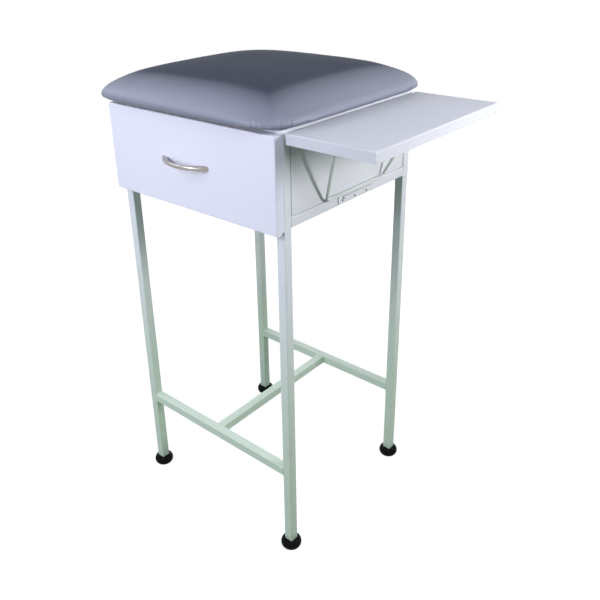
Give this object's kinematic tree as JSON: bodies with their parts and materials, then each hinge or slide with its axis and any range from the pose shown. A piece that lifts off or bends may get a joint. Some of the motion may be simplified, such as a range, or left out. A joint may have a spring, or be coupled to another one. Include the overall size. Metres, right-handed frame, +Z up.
{
  "type": "phlebotomy table",
  "caption": "Blood-drawing table with square-tube legs, a padded arm rest over a drawer, and a side shelf that folds down from a long hinge and is held level by a wire strut.",
  "frame": {"origin": "middle of the whole table's box, on the floor, with the side shelf raised", "axes": "+Z up, the drawer front faces -Y, the folding side shelf is on +X"},
  "size_m": [0.6822, 0.5068, 1.004],
  "materials": {
    "enamel": "white powder coat, satin",
    "zinc_steel": "bright zinc plate",
    "satin_nickel": "brushed nickel plate",
    "rubber_foot": "matte black",
    "plywood": "raw plywood",
    "vinyl": "smooth grey-blue vinyl-coated cloth over foam"
  },
  "bodies": {
    "frame": {"leg_front_left": "enamel", "leg_front_right": "enamel", "leg_back_left": "enamel", "leg_back_right": "enamel", "bottom_rail_front": "enamel", "bottom_rail_back": "enamel", "bottom_rail_left": "enamel", "bottom_rail_right": "enamel", "top_rail_front": "enamel", "top_rail_back": "enamel", "top_rail_left": "enamel", "top_rail_right": "enamel", "stretcher_front": "enamel", "stretcher_back": "enamel", "stretcher_centre": "enamel", "side_panel_left": "enamel", "side_panel_right": "enamel", "back_panel": "enamel", "top_deck": "enamel", "foot_front_left": "rubber_foot", "foot_front_right": "rubber_foot", "foot_back_left": "rubber_foot", "foot_back_right": "rubber_foot", "runner_bearer_left": "enamel", "runner_bearer_right": "enamel", "runner_outer_left": "zinc_steel", "runner_outer_right": "zinc_steel", "cushion_board": "plywood", "cushion": "vinyl", "cushion_screws": "zinc_steel", "hinge_leaf_fixed": "enamel", "hinge_pin": "zinc_steel", "hinge_screws": "zinc_steel", "catch_strip": "enamel", "catch_screws": "zinc_steel"},
    "drawer": {"drawer_front": "enamel", "drawer_inner_front": "enamel", "drawer_side_left": "enamel", "drawer_side_right": "enamel", "drawer_back": "enamel", "drawer_bottom": "enamel", "drawer_handle": "satin_nickel", "handle_screws": "zinc_steel", "runner_inner_left": "zinc_steel", "runner_inner_right": "zinc_steel"},
    "cage_left": {"ball_cage_left": "zinc_steel"},
    "cage_right": {"ball_cage_right": "zinc_steel"},
    "shelf": {"shelf_tray": "enamel", "hinge_leaf_moving": "enamel", "strut_clips": "zinc_steel"},
    "strut": {"strut": "enamel"}
  },
  "joints": [
    {"name": "drawer_slide", "type": "slide", "parent": "frame", "child": "drawer", "axis": [0, -1, 0], "range_m": [0, 0.26]},
    {"name": "cage_left_slide", "type": "slide", "parent": "frame", "child": "cage_left", "axis": [0, -1, 0], "range_m": [0, 0.13]},
    {"name": "cage_right_slide", "type": "slide", "parent": "frame", "child": "cage_right", "axis": [0, -1, 0], "range_m": [0, 0.13]},
    {"name": "shelf_fold", "type": "hinge", "parent": "frame", "child": "shelf", "pos_m": [0.15715, -0.0021, 0.9132], "axis": [0, 1, 0], "range_deg": [0, 90]},
    {"name": "strut_fold", "type": "hinge", "parent": "shelf", "child": "strut", "pos_m": [0.22015, 0.0029, 0.9317], "axis": [0, 1, 0], "range_deg": [-104, 0]}
  ],
  "couplings": [
    {"joint": "cage_left_slide", "follows": "drawer_slide", "ratio": 0.5},
    {"joint": "cage_right_slide", "follows": "drawer_slide", "ratio": 0.5},
    {"joint": "strut_fold", "follows": "shelf_fold", "ratio": -1.146}
  ]
}
